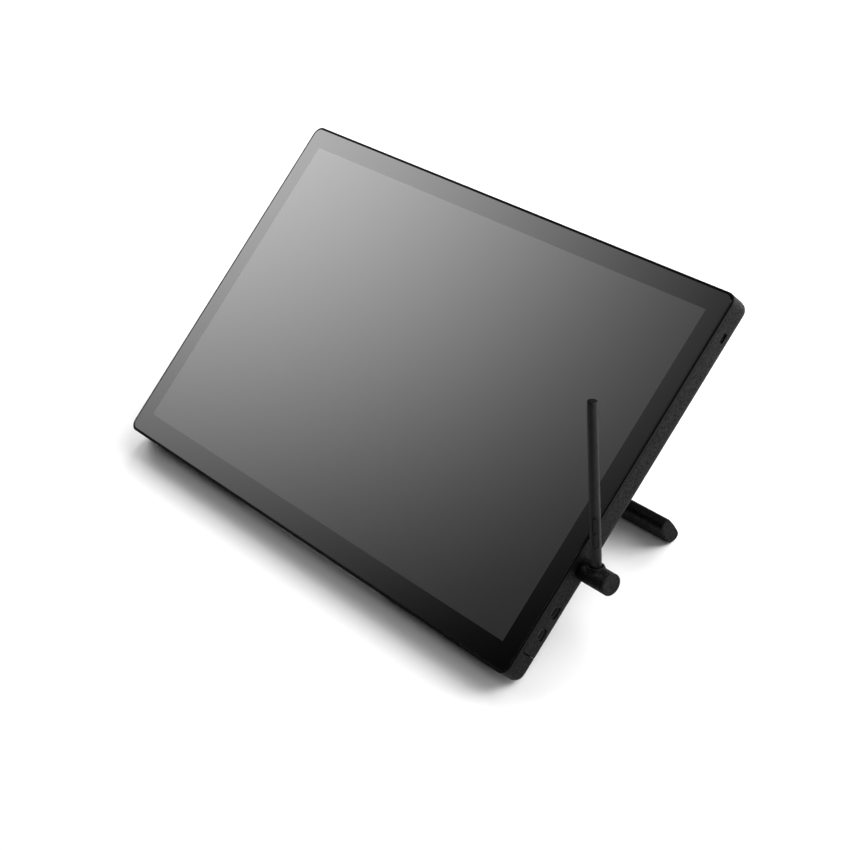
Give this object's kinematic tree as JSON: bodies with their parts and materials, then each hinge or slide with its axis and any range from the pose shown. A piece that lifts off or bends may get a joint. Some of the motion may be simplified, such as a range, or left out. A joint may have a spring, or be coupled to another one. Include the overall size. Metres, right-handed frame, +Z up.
{
  "type": "pen drawing tablet",
  "caption": "Flat pen display with a black glass front, tilted on two fold-out rear legs, with a pen upright in a round holder on its right side.",
  "frame": {"origin": "middle of the object's box on the desk, with the legs open and the pen in its holder", "axes": "+Z up, +X to the user's right along the screen, +Y away from the user; the screen rises towards +Y at 25 degrees"},
  "size_m": [0.5986, 0.3132, 0.1887],
  "materials": {
    "black_glass": "etched front, printed black behind",
    "rim_plastic": "satin black",
    "shell_plastic": "fine moulded texture, dark grey",
    "leg_plastic": "fine moulded texture, dark grey",
    "inner_plastic": "matte black",
    "rubber": "matte black",
    "pen_plastic": "soft satin black",
    "key_plastic": "satin black",
    "zinc_steel": "zinc plated",
    "black_steel": "black plated",
    "chassis_metal": "pressed sheet",
    "panel_cell": "dark panel cell",
    "diffuser": "translucent white",
    "circuit_board": "solder mask",
    "ribbon_film": "film"
  },
  "bodies": {
    "tablet": {"cover_glass": "black_glass", "front_frame": "rim_plastic", "lcd_panel": "panel_cell", "backlight_unit": "diffuser", "backlight_frame": "inner_plastic", "led_strip": "diffuser", "pen_sensor_board": "circuit_board", "chassis_plate": "chassis_metal", "rear_housing": "shell_plastic", "bottom_cover": "shell_plastic", "vesa_plate": "zinc_steel", "housing_screw_1": "zinc_steel", "housing_screw_2": "zinc_steel", "housing_screw_3": "zinc_steel", "housing_screw_4": "zinc_steel", "housing_screw_5": "zinc_steel", "housing_screw_6": "zinc_steel", "rubber_foot_left": "rubber", "rubber_foot_right": "rubber", "main_board": "circuit_board", "processor_shield": "zinc_steel", "panel_driver_board": "circuit_board", "ribbon_cable_display": "ribbon_film", "ribbon_cable_sensor": "ribbon_film", "button_board": "circuit_board", "usb_socket_upper": "black_steel", "usb_socket_lower": "black_steel", "usb_tongue_upper": "inner_plastic", "usb_tongue_lower": "inner_plastic", "lock_slot_insert": "black_steel", "power_switch": "inner_plastic", "status_light": "diffuser", "leg_tray_left": "inner_plastic", "leg_tray_right": "inner_plastic", "hinge_bracket_left": "zinc_steel", "hinge_bracket_right": "zinc_steel", "hinge_pin_left": "zinc_steel", "hinge_pin_right": "zinc_steel", "holder_axle": "zinc_steel", "holder_friction_ring": "inner_plastic", "holder_nut": "zinc_steel"},
    "leg_left": {"leg_left": "leg_plastic", "leg_pad_left_inner": "rubber", "leg_pad_left_outer": "rubber"},
    "leg_right": {"leg_right": "leg_plastic", "leg_pad_right_inner": "rubber", "leg_pad_right_outer": "rubber"},
    "pen_holder": {"pen_holder": "shell_plastic", "holder_cap": "shell_plastic", "holder_sleeve": "rubber"},
    "pen": {"pen_barrel": "pen_plastic", "pen_tail_cap": "pen_plastic", "pen_grip": "pen_plastic", "pen_nose": "pen_plastic", "pen_circuit": "circuit_board"},
    "pen_key_front": {"pen_key_front": "key_plastic"},
    "pen_key_rear": {"pen_key_rear": "key_plastic"},
    "pen_nib": {"pen_nib": "inner_plastic"},
    "power_button": {"power_button": "shell_plastic"}
  },
  "joints": [
    {"name": "leg_left_fold", "type": "hinge", "parent": "tablet", "child": "leg_left", "pos_m": [-0.1866, 0.0178, 0.0824], "axis": [1, 0, 0], "range_deg": [-72, 0]},
    {"name": "leg_right_fold", "type": "hinge", "parent": "tablet", "child": "leg_right", "pos_m": [0.1554, 0.0178, 0.0824], "axis": [1, 0, 0], "range_deg": [-72, 0]},
    {"name": "pen_holder_tilt", "type": "hinge", "parent": "tablet", "child": "pen_holder", "pos_m": [0.2823, -0.06023, 0.04932], "axis": [1, 0, 0], "range_deg": [-30, 60]},
    {"name": "pen_lift", "type": "slide", "parent": "pen_holder", "child": "pen", "axis": [0, 0.3437, 0.9391], "range_m": [0, 0.04]},
    {"name": "pen_key_front_press", "type": "slide", "parent": "pen", "child": "pen_key_front", "axis": [-0.766, 0.6036, -0.2209], "range_m": [0, 0.0003], "stiffness_N_per_m": 800},
    {"name": "pen_key_rear_press", "type": "slide", "parent": "pen", "child": "pen_key_rear", "axis": [-0.766, 0.6036, -0.2209], "range_m": [0, 0.0003], "stiffness_N_per_m": 800},
    {"name": "pen_nib_press", "type": "slide", "parent": "pen", "child": "pen_nib", "axis": [0, 0.3437, 0.9391], "range_m": [0, 0.0004], "stiffness_N_per_m": 1000},
    {"name": "power_button_press", "type": "slide", "parent": "tablet", "child": "power_button", "axis": [0, -0.9063, -0.4226], "range_m": [0, 0.0005], "stiffness_N_per_m": 600}
  ]
}
